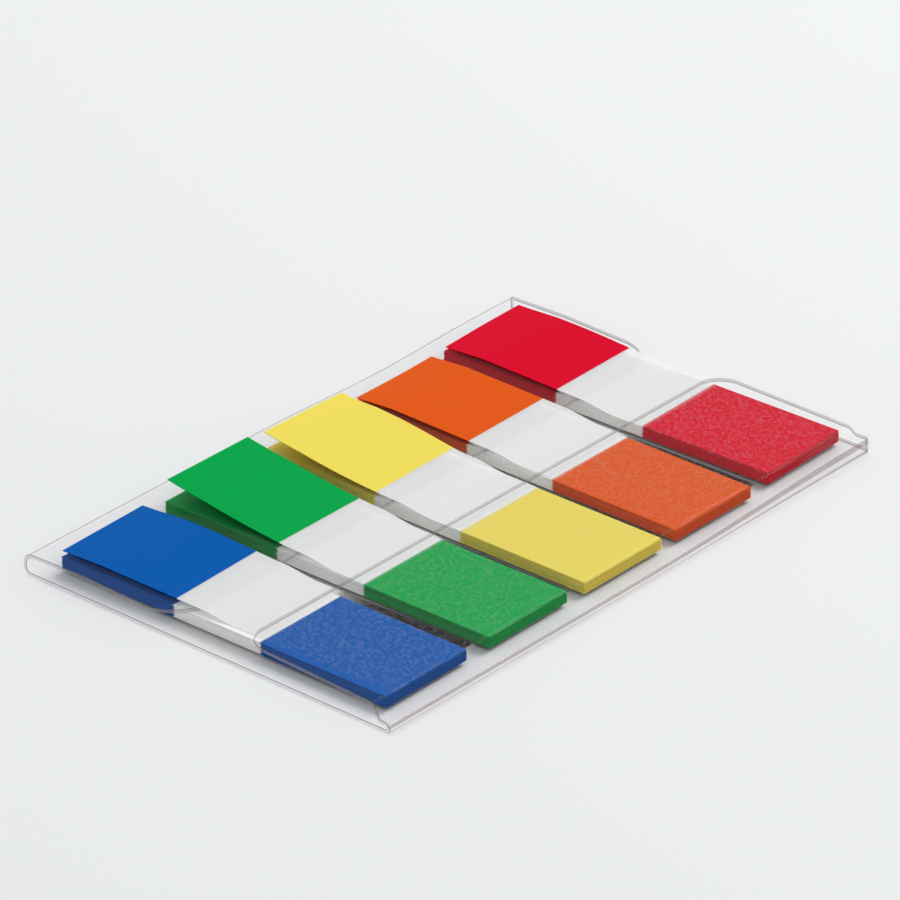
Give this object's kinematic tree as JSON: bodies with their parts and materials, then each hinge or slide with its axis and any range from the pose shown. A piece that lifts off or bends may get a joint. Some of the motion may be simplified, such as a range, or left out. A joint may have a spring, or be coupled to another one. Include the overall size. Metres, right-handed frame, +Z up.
{
  "type": "sticky index tabs in a dispenser",
  "caption": "Coloured film index tabs in a clear folded pocket: each pad feeds its first tab through a slot between two covers, over the left one",
  "frame": {"origin": "middle of the dispenser sheet's underside", "axes": "+X across the two folds, from the open fold to the tight crease; +Y along the folds and the row of pads, from the blue pad to the red one; +Z up out of the covers"},
  "size_m": [0.0492, 0.074, 0.0043],
  "materials": {
    "clear_film": "clear folded plastic film, glossy on both faces",
    "blue_leaves": "stacked film leaves, blue at both ends and milky clear between, mottled where the glue above wets them",
    "green_leaves": "stacked film leaves, green at both ends and milky clear between, mottled where the glue above wets them",
    "yellow_leaves": "stacked film leaves, yellow at both ends and milky clear between, mottled where the glue above wets them",
    "orange_leaves": "stacked film leaves, orange at both ends and milky clear between, mottled where the glue above wets them",
    "red_leaves": "stacked film leaves, red at both ends and milky clear between, mottled where the glue above wets them",
    "blue_flag": "thin film, blue and glossy at its free end, milky clear along its glued end",
    "green_flag": "thin film, green and glossy at its free end, milky clear along its glued end",
    "yellow_flag": "thin film, yellow and glossy at its free end, milky clear along its glued end",
    "orange_flag": "thin film, orange and glossy at its free end, milky clear along its glued end",
    "red_flag": "thin film, red and glossy at its free end, milky clear along its glued end"
  },
  "bodies": {
    "root": {"dispenser_sheet": "clear_film", "blue_pad": "blue_leaves", "green_pad": "green_leaves", "yellow_pad": "yellow_leaves", "orange_pad": "orange_leaves", "red_pad": "red_leaves", "blue_top_flag": "blue_flag", "green_top_flag": "green_flag", "yellow_top_flag": "yellow_flag", "orange_top_flag": "orange_flag", "red_top_flag": "red_flag"}
  },
  "joints": []
}
